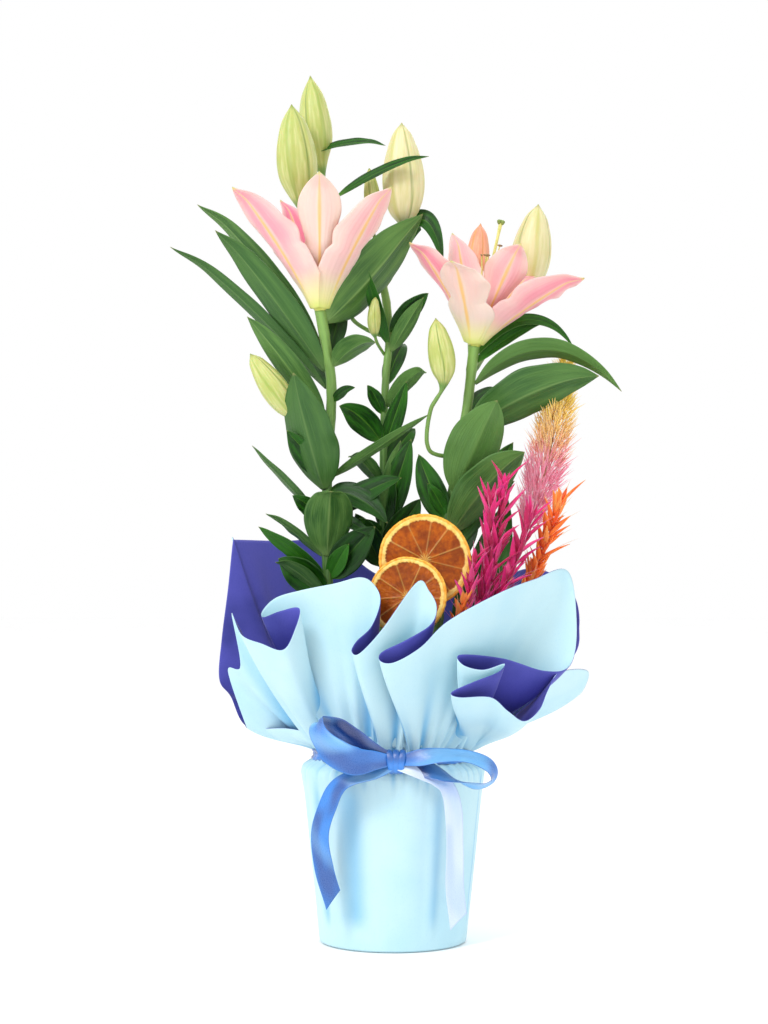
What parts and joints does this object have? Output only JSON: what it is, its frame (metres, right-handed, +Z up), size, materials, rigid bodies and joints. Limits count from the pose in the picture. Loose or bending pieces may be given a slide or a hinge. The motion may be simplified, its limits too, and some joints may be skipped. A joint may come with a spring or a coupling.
{
  "type": "potted cut lily arrangement",
  "caption": "Paper-wrapped pot tied with a ribbon bow, holding pink lily stems with buds and leaves, dried orange slices and dyed dried sprays.",
  "frame": {"origin": "centre of the wrapped pot's flat base, on the surface it stands on", "axes": "+Z up through the pot, +X to the right seen from the bow side, -Y towards the bow"},
  "size_m": [0.3611, 0.2136, 0.7161],
  "materials": {
    "pot": "satin",
    "soil": "matte",
    "paper": "matte",
    "ribbon": "satin",
    "stem": "satin",
    "leaf": "satin",
    "tepal": "satin",
    "pistil": "satin",
    "bud_green": "satin",
    "bud_cream": "satin",
    "bud_blush": "satin",
    "dried_orange": "satin",
    "plume": "matte",
    "orange_spray": "matte",
    "magenta_spray": "matte"
  },
  "bodies": {
    "root": {"pot": "pot", "soil": "soil", "paper_inner": "paper", "paper_outer": "paper", "ribbon_band": "ribbon", "ribbon_knot": "ribbon", "ribbon_loop_left": "ribbon", "ribbon_loop_right": "ribbon", "ribbon_tail_left": "ribbon", "ribbon_tail_right": "ribbon", "stem_left": "stem", "flower_left_tepal_1": "tepal", "flower_left_tepal_2": "tepal", "flower_left_tepal_3": "tepal", "flower_left_tepal_4": "tepal", "flower_left_tepal_5": "tepal", "flower_left_tepal_6": "tepal", "flower_left_pistil": "pistil", "bud_left_front": "bud_green", "bud_left_top": "bud_green", "bud_left_low": "bud_green", "leaf_left_1": "leaf", "leaf_left_2": "leaf", "leaf_left_3": "leaf", "leaf_left_4": "leaf", "leaf_left_5": "leaf", "leaf_left_6": "leaf", "leaf_left_7": "leaf", "leaf_left_8": "leaf", "leaf_left_9": "leaf", "leaf_left_10": "leaf", "leaf_left_11": "leaf", "leaf_left_12": "leaf", "stem_middle": "stem", "bud_middle_top": "bud_cream", "bud_middle_olive": "bud_green", "leaf_middle_1": "leaf", "leaf_middle_2": "leaf", "leaf_middle_3": "leaf", "leaf_middle_4": "leaf", "stem_right": "stem", "flower_right_tepal_1": "tepal", "flower_right_tepal_2": "tepal", "flower_right_tepal_3": "tepal", "flower_right_tepal_4": "tepal", "flower_right_tepal_5": "tepal", "flower_right_tepal_6": "tepal", "flower_right_pistil": "pistil", "bud_right_top": "bud_cream", "bud_right_blush": "bud_blush", "bud_right_low": "bud_green", "leaf_right_1": "leaf", "leaf_right_2": "leaf", "leaf_right_3": "leaf", "leaf_right_4": "leaf", "orange_slice_large": "dried_orange", "orange_slice_small": "dried_orange", "plume": "plume", "orange_spike": "orange_spray", "magenta_spray": "magenta_spray"}
  },
  "joints": []
}
